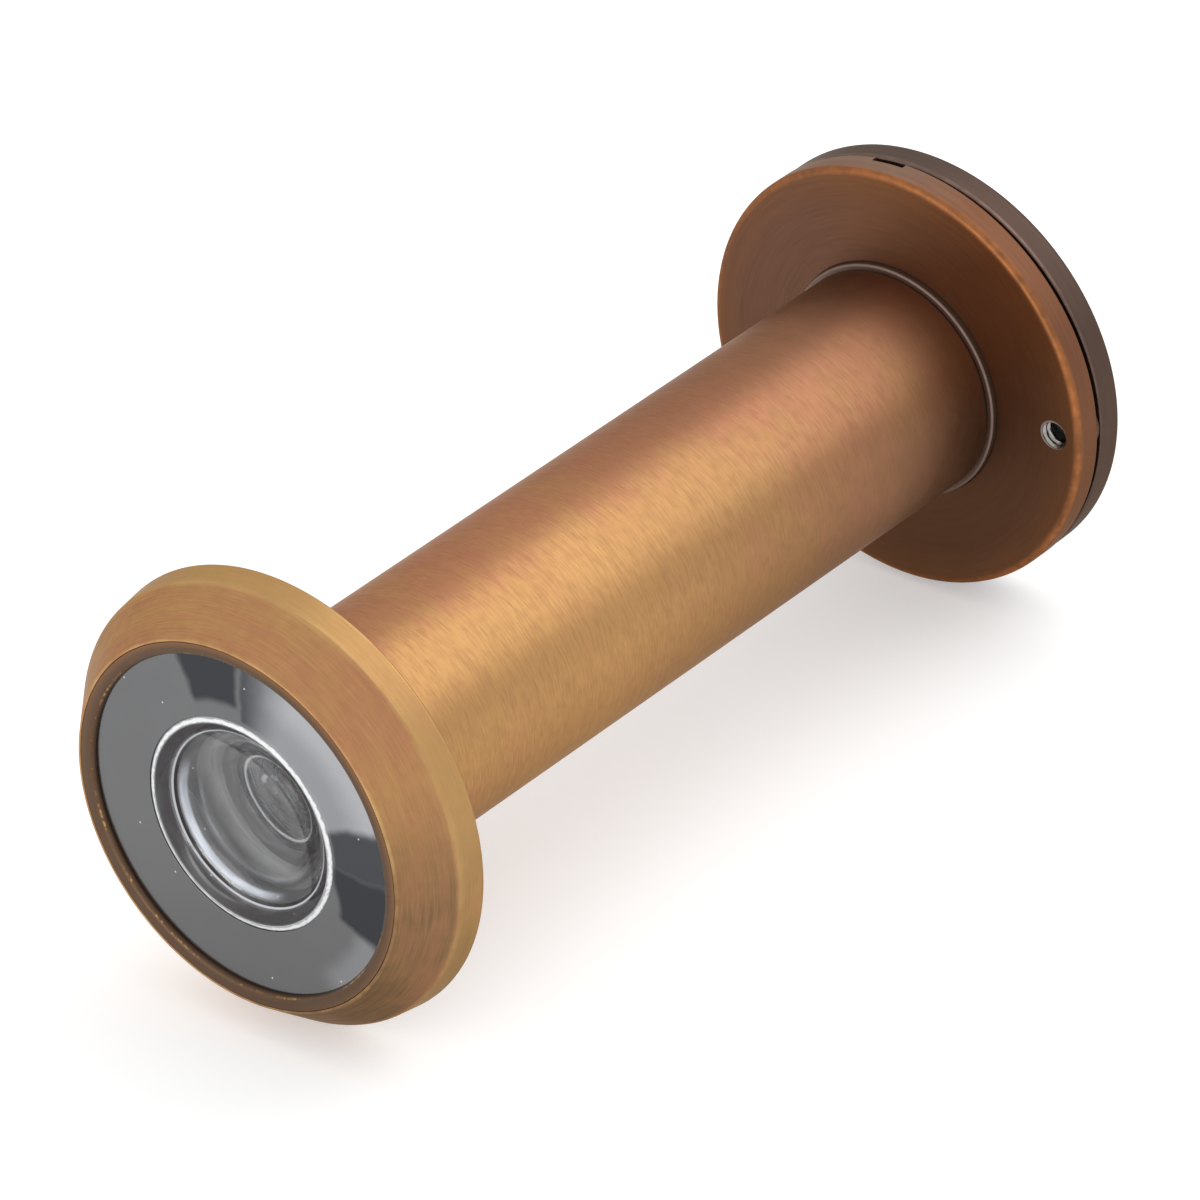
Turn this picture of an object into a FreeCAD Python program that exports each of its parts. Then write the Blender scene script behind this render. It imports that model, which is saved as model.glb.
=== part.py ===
"""Telescoping door viewer with a swinging cover.

Millimetres. The barrel's axis is +Y, from the outside of the door to the room.
The origin is on that axis, in the plane where the bezel seats on the door's outside face.
+X points at the cover's pivot, and +Z is up as fitted.
An outline is a closed list of corners (radius, station, rounding) that is turned about the axis.
"""
import FreeCAD, Part
import math
import os

# --- front barrel and bezel ---
TUBE_DIAMETER = 14.0
TUBE_WALL = 1.0
TUBE_LENGTH = 53.2
TUBE_END_ROUNDING = 0.15
BEZEL_DIAMETER = 27.1
BEZEL_RIM_BAND = 1.75
BEZEL_RIM_FLARE = 0.25
BEZEL_CONE_WIDTH = 2.13
BEZEL_BACK_ROUNDING = 0.2
BEZEL_RIDGE_ROUNDING = 0.25
BEZEL_FLOOR = 0.95
BEZEL_FRONT_LAND = 0.12
CELL_SHOULDER = 0.4
CELL_SHOULDER_THICKNESS = 0.7

# --- objective, with the ring and the polished plate in front of it ---
OBJECTIVE_RING_THICKNESS = 0.4
OBJECTIVE_RING_WIDTH = 0.8
OBJECTIVE_RING_ROUNDING = 0.12
PLATE_THICKNESS = 0.15
OBJECTIVE_THICKNESS = 3.05
OBJECTIVE_BOWL_DIAMETER = 12.2
OBJECTIVE_BOWL_DEPTH = 2.4
OBJECTIVE_LIP_WIDTH = 0.3
OBJECTIVE_LIP_PROUD = 0.05

# --- inner lenses and their cell ---
CELL_WALL = 0.7
CELL_LIP_WIDTH = 0.6
CELL_LIP_THICKNESS = 0.5
SECOND_LENS_THICKNESS = 2.6
SECOND_LENS_LAND = 1.2
SECOND_LENS_BOWL_DEPTH = 1.7
LENS_SPACER_LENGTH = 1.8
LENS_SPACER_WALL = 0.8
THIRD_LENS_THICKNESS = 2.4
THIRD_LENS_LAND = 1.7
THIRD_LENS_BOWL_DEPTH = 1.2
CELL_RING_LENGTH = 1.4
CELL_RING_WALL = 1.0
CELL_RING_NOTCH_WIDTH = 1.0
CELL_RING_NOTCH_DEPTH = 0.6
CELL_TAIL = 0.6

# --- travelling collar ---
COLLAR_THICKNESS = 0.8
COLLAR_PROUD = 0.4
COLLAR_OVERHANG = 0.3
COLLAR_ROUNDING = 0.15

# --- rear barrel ---
FLANGE_DIAMETER = 26.36
FLANGE_THICKNESS = 1.75
FLANGE_FRONT_ROUNDING = 0.45
FLANGE_BACK_ROUNDING = 0.12
THREAD_LENGTH = 30.0
THREAD_LEAD_IN = 0.4
REAR_WALL = 1.5
COIN_SLOT_WIDTH = 2.2
COIN_SLOT_DEPTH = 0.45
COIN_SLOT_TURN = 4.8  # degrees from square to the pivot
EYEPIECE_SHOULDER = 0.5
EYEPIECE_THICKNESS = 2.2
EYEPIECE_CROWN = 0.8
EYEPIECE_RING_LENGTH = 1.0
EYEPIECE_RING_WALL = 1.0
EYEPIECE_RING_NOTCH_WIDTH = 1.0
EYEPIECE_RING_NOTCH_DEPTH = 0.5
EYEPIECE_SUNK = 0.2

# --- cover and pivot ---
COVER_INSET = 0.04
COVER_THICKNESS = 1.9
COVER_FRONT_ROUNDING = 0.12
COVER_BACK_ROUNDING = 0.4
COVER_GAP = 0.36
COVER_NEAR_GAP = 0.015
COVER_LEAN_TOWARDS = -38.0  # degrees from +X towards +Z, where the gap is widest
COVER_POCKET_DEPTH = 0.7
PIVOT_EDGE_DISTANCE = 1.84
PIVOT_THREAD_DIAMETER = 1.8
PIVOT_THREAD_ENGAGED = 0.9
PIVOT_HEAD_DIAMETER = 2.6
PIVOT_HEAD_THICKNESS = 0.55
PIVOT_HEAD_ROUNDING = 0.15
PIVOT_HEAD_SLOT_WIDTH = 0.35
PIVOT_HEAD_SLOT_DEPTH = 0.25
PIVOT_WASHER_DIAMETER = 3.5
SPRING_WASHER_THICKNESS = 0.12
SPRING_WASHER_RISE = 0.1

# --- fits ---
THREAD_CLEARANCE = 0.06
COLLAR_CLEARANCE = 0.04
PIVOT_CLEARANCE = 0.06
SEAT_CLEARANCE = 0.03
TAPPED_CLEARANCE = 0.02
POCKET_CLEARANCE = 0.1
SEAT_GAP = 0.02
WASHER_PLAY = 0.06

# --- radii that follow ---
tube_radius = TUBE_DIAMETER / 2
bore_radius = tube_radius - TUBE_WALL
ridge_radius = BEZEL_DIAMETER / 2 - BEZEL_RIM_FLARE
bezel_front_radius = ridge_radius - BEZEL_CONE_WIDTH
recess_radius = bezel_front_radius - BEZEL_FRONT_LAND
objective_bowl_radius = OBJECTIVE_BOWL_DIAMETER / 2
objective_lip_radius = objective_bowl_radius + OBJECTIVE_LIP_WIDTH
cell_radius = bore_radius - SEAT_CLEARANCE
cell_bore_radius = cell_radius - CELL_WALL
inner_lens_radius = cell_bore_radius - SEAT_CLEARANCE
thread_radius = bore_radius - THREAD_CLEARANCE
rear_bore_radius = thread_radius - REAR_WALL
eyepiece_bore_radius = rear_bore_radius + EYEPIECE_SHOULDER
eyepiece_radius = eyepiece_bore_radius - SEAT_CLEARANCE
collar_radius = tube_radius + COLLAR_OVERHANG
collar_seat_radius = collar_radius + COLLAR_CLEARANCE
flange_radius = FLANGE_DIAMETER / 2
pivot_offset = flange_radius - PIVOT_EDGE_DISTANCE
cover_radius = flange_radius - COVER_INSET
lean_direction = math.radians(COVER_LEAN_TOWARDS)
lean_reach = pivot_offset * math.cos(lean_direction) + cover_radius
cover_lean = math.asin((COVER_GAP - COVER_NEAR_GAP) / lean_reach)
pivot_radius = PIVOT_THREAD_DIAMETER / 2
pivot_hole_radius = pivot_radius + PIVOT_CLEARANCE

# --- stations along the axis that follow ---
recess_depth = OBJECTIVE_RING_THICKNESS + PLATE_THICKNESS + OBJECTIVE_THICKNESS
bezel_depth = recess_depth + BEZEL_FLOOR
front_station = -bezel_depth
plate_station = front_station + OBJECTIVE_RING_THICKNESS
lens_lip_station = plate_station - OBJECTIVE_LIP_PROUD
lens_front_station = plate_station + PLATE_THICKNESS
floor_station = lens_front_station + OBJECTIVE_THICKNESS
cell_station = floor_station + CELL_SHOULDER_THICKNESS
second_lens_station = cell_station + CELL_LIP_THICKNESS
spacer_station = second_lens_station + SECOND_LENS_THICKNESS
third_lens_station = spacer_station + LENS_SPACER_LENGTH
cell_ring_station = third_lens_station + THIRD_LENS_THICKNESS
cell_end_station = cell_ring_station + CELL_RING_LENGTH + CELL_TAIL
collar_station = TUBE_LENGTH + SEAT_GAP
flange_station = collar_station + COLLAR_PROUD
flange_back_station = flange_station + FLANGE_THICKNESS
thread_end_station = flange_station - THREAD_LENGTH
eyepiece_ring_back_station = flange_back_station - EYEPIECE_SUNK
eyepiece_ring_station = eyepiece_ring_back_station - EYEPIECE_RING_LENGTH
eyepiece_station = eyepiece_ring_station - EYEPIECE_THICKNESS
cover_station = flange_back_station + COVER_GAP
cover_back_station = cover_station + COVER_THICKNESS
pocket_station = cover_back_station - COVER_POCKET_DEPTH
spring_washer_station = pocket_station + SEAT_GAP
head_station = spring_washer_station + SPRING_WASHER_THICKNESS + SPRING_WASHER_RISE + 2 * SEAT_GAP

ORIGIN = FreeCAD.Vector(0, 0, 0)
AXIS = FreeCAD.Vector(0, 1, 0)
PAST = 1.0  # how far a cutting tool runs past the face it cuts


def rounded_outline(corners):
    """Face in the plane of the axis; each corner is (radius, station, rounding)."""
    points = [FreeCAD.Vector(radius, station, 0) for radius, station, _ in corners]
    starts = []
    middles = []
    ends = []
    for index, corner in enumerate(points):
        to_last = (points[index - 1] - corner).normalize()
        to_next = (points[(index + 1) % len(points)] - corner).normalize()
        half_angle = to_last.getAngle(to_next) / 2
        rounding = corners[index][2]
        reach = rounding / math.tan(half_angle)
        bisector = (to_last + to_next).normalize()
        middles.append(corner + bisector * (rounding / math.sin(half_angle) - rounding))
        starts.append(corner + to_last * reach)
        ends.append(corner + to_next * reach)
    edges = []
    for index, (_, _, rounding) in enumerate(corners):
        if rounding > 0:
            edges.append(Part.Arc(starts[index], middles[index], ends[index]).toShape())
        following = (index + 1) % len(points)
        edges.append(Part.LineSegment(ends[index], starts[following]).toShape())
    return Part.Face(Part.Wire(edges))


def turned(corners, offset=0.0):
    """Solid of revolution about the barrel's axis, moved by offset along +X."""
    solid = rounded_outline(corners).revolve(ORIGIN, AXIS, 360)
    solid.translate(FreeCAD.Vector(offset, 0, 0))
    return solid


def ring(inner_radius, outer_radius, start, end, rounding=0.0, offset=0.0):
    """Plain ring between two stations; rounding goes on its two outer edges."""
    corners = [
        (inner_radius, start, 0.0),
        (outer_radius, start, rounding),
        (outer_radius, end, rounding),
        (inner_radius, end, 0.0),
    ]
    return turned(corners, offset)


def rod(radius, start, end, offset=0.0):
    """Plain cylinder along the axis between two stations."""
    return Part.makeCylinder(radius, end - start, FreeCAD.Vector(offset, start, 0), AXIS)


def bar(width, height, start, end, centre_z=0.0, offset=0.0):
    """Box along the axis: width is along X and height along Z, centred on (offset, centre_z)."""
    corner = FreeCAD.Vector(offset - width / 2, start, centre_z - height / 2)
    return Part.makeBox(width, end - start, height, corner)


def lens(radius, curved_station, flat_station, curve_radius, rise):
    """Lens with one flat face and one face curved inside curve_radius.

    The curved face's pole stands rise along +Y from its rim, so a negative rise lies towards -Y.
    """
    pole = FreeCAD.Vector(0, curved_station + rise, 0)
    rim = FreeCAD.Vector(curve_radius, curved_station, 0)
    ball_radius = (curve_radius ** 2 + rise ** 2) / (2 * rise)
    half_turn = math.asin(curve_radius / abs(ball_radius)) / 2
    middle = FreeCAD.Vector(
        abs(ball_radius) * math.sin(half_turn),
        pole.y - ball_radius * (1 - math.cos(half_turn)),
        0,
    )
    outline = [
        rim,
        FreeCAD.Vector(radius, curved_station, 0),
        FreeCAD.Vector(radius, flat_station, 0),
        FreeCAD.Vector(0, flat_station, 0),
        pole,
    ]
    edges = [Part.LineSegment(start, end).toShape() for start, end in zip(outline, outline[1:])]
    edges.append(Part.Arc(pole, middle, rim).toShape())
    return Part.Face(Part.Wire(edges)).revolve(ORIGIN, AXIS, 360)


def notches(ring_wall, ring_radius, width, depth, back_station):
    """Two spanner notches across a ring's rear face, on the X sides."""
    middle = ring_radius - ring_wall / 2
    reach = ring_wall + PAST
    tools = [
        bar(reach, width, back_station - depth, back_station + PAST, offset=side * middle)
        for side in (-1, 1)
    ]
    return tools[0].fuse(tools[1])


def make_front_barrel():
    """Bezel and tube in one piece, open right through."""
    shoulder_radius = bore_radius - CELL_SHOULDER
    corners = [
        (recess_radius, front_station, 0.0),
        (bezel_front_radius, front_station, 0.0),
        (ridge_radius, -BEZEL_RIM_BAND, BEZEL_RIDGE_ROUNDING),
        (BEZEL_DIAMETER / 2, 0.0, BEZEL_BACK_ROUNDING),
        (tube_radius, 0.0, 0.0),
        (tube_radius, TUBE_LENGTH, TUBE_END_ROUNDING),
        (bore_radius, TUBE_LENGTH, 0.0),
        (bore_radius, cell_station, 0.0),
        (shoulder_radius, cell_station, 0.0),
        (shoulder_radius, floor_station, 0.0),
        (recess_radius, floor_station, 0.0),
    ]
    return turned(corners)


def make_objective_ring():
    """Ring pressed in over the polished plate, flush with the bezel's front."""
    outer = recess_radius - SEAT_CLEARANCE
    corners = [
        (outer - OBJECTIVE_RING_WIDTH, plate_station, 0.0),
        (outer - OBJECTIVE_RING_WIDTH, front_station, OBJECTIVE_RING_ROUNDING),
        (outer, front_station, 0.0),
        (outer, plate_station, 0.0),
    ]
    return turned(corners)


def make_objective_lens():
    """Front glass: flat behind, hollow in front, with a lip round the hollow that stands through the plate."""
    radius = recess_radius - SEAT_CLEARANCE
    blank = lens(radius, lens_lip_station, floor_station, objective_bowl_radius, OBJECTIVE_BOWL_DEPTH)
    return blank.cut(ring(objective_lip_radius, radius + PAST, lens_lip_station - PAST, lens_front_station))


def make_polished_plate():
    """Thin polished plate over the flat rim of the front glass."""
    inner = objective_lip_radius + SEAT_CLEARANCE
    return ring(inner, recess_radius - SEAT_CLEARANCE, plate_station, lens_front_station)


def make_lens_cell():
    """Tube with a front lip that carries the inner lenses."""
    lip_radius = cell_bore_radius - CELL_LIP_WIDTH
    corners = [
        (lip_radius, cell_station, 0.0),
        (cell_radius, cell_station, 0.0),
        (cell_radius, cell_end_station, 0.0),
        (cell_bore_radius, cell_end_station, 0.0),
        (cell_bore_radius, second_lens_station, 0.0),
        (lip_radius, second_lens_station, 0.0),
    ]
    return turned(corners)


def make_second_lens():
    """Second negative lens, against the cell's lip."""
    bowl_radius = inner_lens_radius - SECOND_LENS_LAND
    return lens(
        inner_lens_radius, spacer_station, second_lens_station, bowl_radius, -SECOND_LENS_BOWL_DEPTH
    )


def make_lens_spacer():
    """Ring that keeps the second and third lens apart."""
    return ring(inner_lens_radius - LENS_SPACER_WALL, inner_lens_radius, spacer_station, third_lens_station)


def make_third_lens():
    """Third negative lens."""
    bowl_radius = inner_lens_radius - THIRD_LENS_LAND
    return lens(
        inner_lens_radius, cell_ring_station, third_lens_station, bowl_radius, -THIRD_LENS_BOWL_DEPTH
    )


def make_cell_ring():
    """Ring behind the third lens, with two spanner notches."""
    end = cell_ring_station + CELL_RING_LENGTH
    body = ring(inner_lens_radius - CELL_RING_WALL, inner_lens_radius, cell_ring_station, end)
    return body.cut(
        notches(CELL_RING_WALL, inner_lens_radius, CELL_RING_NOTCH_WIDTH, CELL_RING_NOTCH_DEPTH, end)
    )


def make_collar_ring():
    """Collar let into the flange's front face, where the tube's end meets it."""
    inner = thread_radius + COLLAR_CLEARANCE
    end = collar_station + COLLAR_THICKNESS
    corners = [
        (inner, collar_station, 0.0),
        (collar_radius, collar_station, COLLAR_ROUNDING),
        (collar_radius, end, 0.0),
        (inner, end, 0.0),
    ]
    return turned(corners)


def make_rear_barrel():
    """Threaded barrel and flange, with the coin slots and the tapped pivot hole."""
    collar_floor_station = collar_station + COLLAR_THICKNESS + SEAT_GAP
    corners = [
        (rear_bore_radius, thread_end_station, 0.0),
        (thread_radius, thread_end_station, THREAD_LEAD_IN),
        (thread_radius, collar_floor_station, 0.0),
        (collar_seat_radius, collar_floor_station, 0.0),
        (collar_seat_radius, flange_station, 0.0),
        (flange_radius, flange_station, FLANGE_FRONT_ROUNDING),
        (flange_radius, flange_back_station, FLANGE_BACK_ROUNDING),
        (eyepiece_bore_radius, flange_back_station, 0.0),
        (eyepiece_bore_radius, eyepiece_station, 0.0),
        (rear_bore_radius, eyepiece_station, 0.0),
    ]
    slot = bar(
        COIN_SLOT_WIDTH,
        FLANGE_DIAMETER + 2 * PAST,
        flange_back_station - COIN_SLOT_DEPTH,
        flange_back_station + PAST,
    )
    slot.rotate(ORIGIN, AXIS, -COIN_SLOT_TURN)
    tapped_radius = pivot_radius + TAPPED_CLEARANCE
    tapped_hole = rod(tapped_radius, flange_station - PAST, flange_back_station + PAST, pivot_offset)
    return turned(corners).cut(slot).cut(tapped_hole)


def make_eyepiece_lens():
    """Lens for the eye: domed towards the door's outside, flat towards the eye."""
    dome_radius = rear_bore_radius - SEAT_CLEARANCE
    return lens(eyepiece_radius, eyepiece_station, eyepiece_ring_station, dome_radius, -EYEPIECE_CROWN)


def make_eyepiece_ring():
    """Ring that holds the eyepiece, with two spanner notches."""
    body = ring(
        eyepiece_radius - EYEPIECE_RING_WALL, eyepiece_radius, eyepiece_ring_station, eyepiece_ring_back_station
    )
    return body.cut(
        notches(
            EYEPIECE_RING_WALL,
            eyepiece_radius,
            EYEPIECE_RING_NOTCH_WIDTH,
            EYEPIECE_RING_NOTCH_DEPTH,
            eyepiece_ring_back_station,
        )
    )


def make_pivot_screw():
    """Screw driven into the flange from the room side, with its slotted head sunk in the cover."""
    head_back_station = head_station + PIVOT_HEAD_THICKNESS
    corners = [
        (0.0, flange_back_station - PIVOT_THREAD_ENGAGED, 0.0),
        (pivot_radius, flange_back_station - PIVOT_THREAD_ENGAGED, 0.0),
        (pivot_radius, head_station, 0.0),
        (PIVOT_HEAD_DIAMETER / 2, head_station, 0.0),
        (PIVOT_HEAD_DIAMETER / 2, head_back_station, PIVOT_HEAD_ROUNDING),
        (0.0, head_back_station, 0.0),
    ]
    slot = bar(
        PIVOT_HEAD_SLOT_WIDTH,
        PIVOT_HEAD_DIAMETER + 2 * PAST,
        head_back_station - PIVOT_HEAD_SLOT_DEPTH,
        head_back_station + PAST,
        offset=pivot_offset,
    )
    return turned(corners, pivot_offset).cut(slot)


def make_pivot_washer():
    """Thin washer on the screw, between flange and cover."""
    end = cover_station - WASHER_PLAY
    return ring(pivot_hole_radius, PIVOT_WASHER_DIAMETER / 2, flange_back_station, end, 0.0, pivot_offset)


def lean(solid):
    """Tip a cover piece about the pivot, so that the far side of its rim comes nearer to the flange."""
    pivot = FreeCAD.Vector(pivot_offset, cover_station, 0)
    tipping_axis = FreeCAD.Vector(-math.sin(lean_direction), 0, math.cos(lean_direction))
    solid.rotate(pivot, tipping_axis, math.degrees(cover_lean))
    return solid


def make_cover_disc():
    """Round cover, with its pivot hole near the edge and a pocket for the screw's head."""
    corners = [
        (0.0, cover_station, 0.0),
        (cover_radius, cover_station, COVER_FRONT_ROUNDING),
        (cover_radius, cover_back_station, COVER_BACK_ROUNDING),
        (0.0, cover_back_station, 0.0),
    ]
    hole = rod(pivot_hole_radius, cover_station - PAST, cover_back_station + PAST, pivot_offset)
    pocket_radius = PIVOT_HEAD_DIAMETER / 2 + POCKET_CLEARANCE
    pocket = rod(pocket_radius, pocket_station, cover_back_station + PAST, pivot_offset)
    return lean(turned(corners).cut(hole).cut(pocket))


def make_spring_washer():
    """Conical spring washer between the cover and the screw's head."""
    outer = PIVOT_HEAD_DIAMETER / 2
    corners = [
        (pivot_hole_radius, spring_washer_station + SPRING_WASHER_RISE, 0.0),
        (outer, spring_washer_station, 0.0),
        (outer, spring_washer_station + SPRING_WASHER_THICKNESS, 0.0),
        (pivot_hole_radius, spring_washer_station + SPRING_WASHER_RISE + SPRING_WASHER_THICKNESS, 0.0),
    ]
    return lean(turned(corners, pivot_offset))


MAKERS = {
    "front_barrel": make_front_barrel,
    "objective_ring": make_objective_ring,
    "objective_lens": make_objective_lens,
    "polished_plate": make_polished_plate,
    "lens_cell": make_lens_cell,
    "second_lens": make_second_lens,
    "lens_spacer": make_lens_spacer,
    "third_lens": make_third_lens,
    "cell_ring": make_cell_ring,
    "collar_ring": make_collar_ring,
    "rear_barrel": make_rear_barrel,
    "eyepiece_lens": make_eyepiece_lens,
    "eyepiece_ring": make_eyepiece_ring,
    "pivot_screw": make_pivot_screw,
    "pivot_washer": make_pivot_washer,
    "cover_disc": make_cover_disc,
    "spring_washer": make_spring_washer,
}

os.makedirs("parts", exist_ok=True)
for node, make in MAKERS.items():
    make().exportStep(f"parts/{node}.step")
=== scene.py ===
"""Looks of a telescoping door viewer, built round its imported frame.

Lengths are written in millimetres and made metres where a mesh is built.
The barrel's axis is +Y, from the front glass to the swinging cover.
A turned piece is a profile of corners (radius, station, rounding) swept round that axis.
"""
import logging
import math
from dataclasses import dataclass, field
from enum import Enum, IntEnum
from typing import Optional, Sequence, Union

import bpy
import numpy as np
from mathutils import Matrix, Vector


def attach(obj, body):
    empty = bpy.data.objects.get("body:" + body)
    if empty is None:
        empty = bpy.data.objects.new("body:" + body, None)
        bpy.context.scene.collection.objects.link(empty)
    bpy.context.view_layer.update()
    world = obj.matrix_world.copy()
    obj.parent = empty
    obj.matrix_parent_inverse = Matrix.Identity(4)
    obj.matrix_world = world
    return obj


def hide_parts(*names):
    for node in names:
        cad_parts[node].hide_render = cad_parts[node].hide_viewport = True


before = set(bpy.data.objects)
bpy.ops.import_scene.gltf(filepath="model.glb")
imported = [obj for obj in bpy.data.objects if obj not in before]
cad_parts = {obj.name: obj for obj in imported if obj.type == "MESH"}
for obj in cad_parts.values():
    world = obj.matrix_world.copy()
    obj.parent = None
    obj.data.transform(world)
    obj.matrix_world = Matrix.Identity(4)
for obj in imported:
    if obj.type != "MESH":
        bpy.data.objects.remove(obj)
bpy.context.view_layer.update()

LOG = logging.getLogger("door_viewer")
MM = 0.001
FINE_STEPS, STEPS, SMALL_STEPS, TAP_STEPS = 320, 256, 96, 48  # round the axis
ARC_SPANS, CAP_ROWS, PITCH_ROWS = 7, 48, 8  # along a profile
Triple = tuple[float, float, float]
Number = Union[float, int]
Value = Union["Signal", Number]
Key = Union[int, str]


class Body(Enum):
    """The frame's bodies."""

    FRONT = "front_barrel"
    COLLAR = "travelling_collar"
    REAR = "rear_barrel"
    COVER = "cover"


class Slot(Enum):
    """The record's finish slots."""

    BRASS = "brushed_brass"
    RING = "dark_ring"
    GLASS = "glass"
    PLATE = "polished_plate"
    CELL = "black_cell"
    BRONZE = "dark_bronze"
    COVER = "cover_bronze"
    STEEL = "steel"


class Surface(IntEnum):
    """Surfaces of a lens, by material number."""

    CLEAR = 0
    GROUND = 1
    LINE = 2


# ---- shader maths


class Signal:
    """A shader socket that can be used in Python expressions."""

    def __init__(self, board: "Board", socket: bpy.types.NodeSocket) -> None:
        """Keep the board that adds nodes and the socket that carries the value."""
        self.board = board
        self.socket = socket

    def math(self, operation: str, *others: Value, first: bool = True) -> "Signal":
        """Add one Math node; first=False puts this signal after the other operand."""
        operands = [self, *others] if first else [*others, self]
        return self.board.make("ShaderNodeMath", {"operation": operation}, dict(enumerate(operands)))

    def __add__(self, other: Value) -> "Signal":
        """Sum."""
        return self.math("ADD", other)

    __radd__ = __add__

    def __mul__(self, other: Value) -> "Signal":
        """Product."""
        return self.math("MULTIPLY", other)

    __rmul__ = __mul__

    def __sub__(self, other: Value) -> "Signal":
        """Difference."""
        return self.math("SUBTRACT", other)

    def __rsub__(self, other: Number) -> "Signal":
        """Difference from a number."""
        return self.math("SUBTRACT", other, first=False)

    def __truediv__(self, other: Value) -> "Signal":
        """Quotient."""
        return self.math("DIVIDE", other)

    def clamped(self) -> "Signal":
        """The value held between 0 and 1."""
        return self.math("MAXIMUM", 0.0).math("MINIMUM", 1.0)

    def ramp(self, low: float, high: float) -> "Signal":
        """Smooth step from 0 at low to 1 at high; low may be the larger."""
        settings = {"interpolation_type": "SMOOTHSTEP"}
        return self.board.make("ShaderNodeMapRange", settings, {0: self, 1: low, 2: high, 3: 0.0, 4: 1.0})

    def band(self, low: float, high: float, soft: float) -> "Signal":
        """1 between low and high, with soft edges, and 0 outside."""
        return self.ramp(low - soft, low + soft) * self.ramp(high + soft, high - soft)


Feed = Union[Signal, Number, Sequence[Number], bpy.types.NodeSocket]
Feeds = dict[Key, Feed]


class Board:
    """Adds nodes to one node tree."""

    def __init__(self, tree: bpy.types.NodeTree) -> None:
        """Start from an empty tree."""
        self.tree = tree
        tree.nodes.clear()

    def node(self, kind: str, settings: dict[str, object], feeds: Feeds) -> bpy.types.Node:
        """Add one node.

        Args:
            kind: the node's type.
            settings: its properties, set first.
            feeds: for each socket, a number, a colour or a link.

        Returns:
            The node.
        """
        node = self.tree.nodes.new(kind)
        for name, value in settings.items():
            setattr(node, name, value)
        for key, value in feeds.items():
            source = value.socket if isinstance(value, Signal) else value
            if isinstance(source, bpy.types.NodeSocket):
                self.tree.links.new(source, node.inputs[key])
            else:
                node.inputs[key].default_value = source
        return node

    def make(self, kind: str, settings: dict[str, object], feeds: Feeds, out: Key = 0) -> Signal:
        """Add one node and return one of its outputs as a signal."""
        return Signal(self, self.node(kind, settings, feeds).outputs[out])

    def noise(self, vector: Signal, scale: float, detail: float) -> Signal:
        """Noise from 0 to 1 at a vector."""
        return self.make("ShaderNodeTexNoise", {}, {"Vector": vector, "Scale": scale, "Detail": detail})

    def vector(self, x: Feed, y: Feed, z: Feed) -> Signal:
        """A vector of three values."""
        return self.make("ShaderNodeCombineXYZ", {}, {0: x, 1: y, 2: z})

    def blend(self, factor: Feed, low: Feed, high: Feed) -> Signal:
        """Mix two colours; the factor picks from low at 0 to high at 1."""
        low, high = [value if isinstance(value, Signal) else (*value, 1.0) for value in (low, high)]
        return self.make("ShaderNodeMix", {"data_type": "RGBA"}, {0: factor, 6: low, 7: high}, out=2)

    def coats(self, colour: Feed, *coats: tuple[Feed, Feed]) -> Signal:
        """Lay coats over a colour.

        Args:
            colour: the colour underneath.
            coats: for each coat, how much of it there is and its own colour.

        Returns:
            The last coat's result.
        """
        for amount, coat in coats:
            colour = self.blend(amount, colour, coat)
        return colour

    def bump(self, height: Signal, strength: float, distance: float) -> Signal:
        """A normal that follows a height; distance is in metres."""
        return self.make("ShaderNodeBump", {}, {"Height": height, "Strength": strength, "Distance": distance})

    def principled(self, feeds: Feeds) -> bpy.types.Node:
        """The shader that most finishes end in."""
        return self.node("ShaderNodeBsdfPrincipled", {}, feeds)

    def matt(self, colour: Triple) -> bpy.types.Node:
        """A matt shader of one colour."""
        return self.node("ShaderNodeBsdfDiffuse", {}, {"Color": (*colour, 1.0)})

    def mixed(self, factor: Feed, low: bpy.types.Node, high: bpy.types.Node) -> bpy.types.Node:
        """Mix two shaders; the factor picks from low at 0 to high at 1."""
        return self.node("ShaderNodeMixShader", {}, {0: factor, 1: low.outputs[0], 2: high.outputs[0]})


def blank_material(name: str) -> tuple[bpy.types.Material, Board]:
    """Make an empty material.

    Args:
        name: its name.

    Returns:
        The material and its board.
    """
    material = bpy.data.materials.new(name)
    material.use_nodes = True
    return material, Board(material.node_tree)


def placed(name: str, data: bpy.types.ID) -> bpy.types.Object:
    """Put an object into the scene.

    Args:
        name: its name.
        data: its mesh, lamp or camera.

    Returns:
        The object.
    """
    piece = bpy.data.objects.new(name, data)
    bpy.context.scene.collection.objects.link(piece)
    return piece

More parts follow.
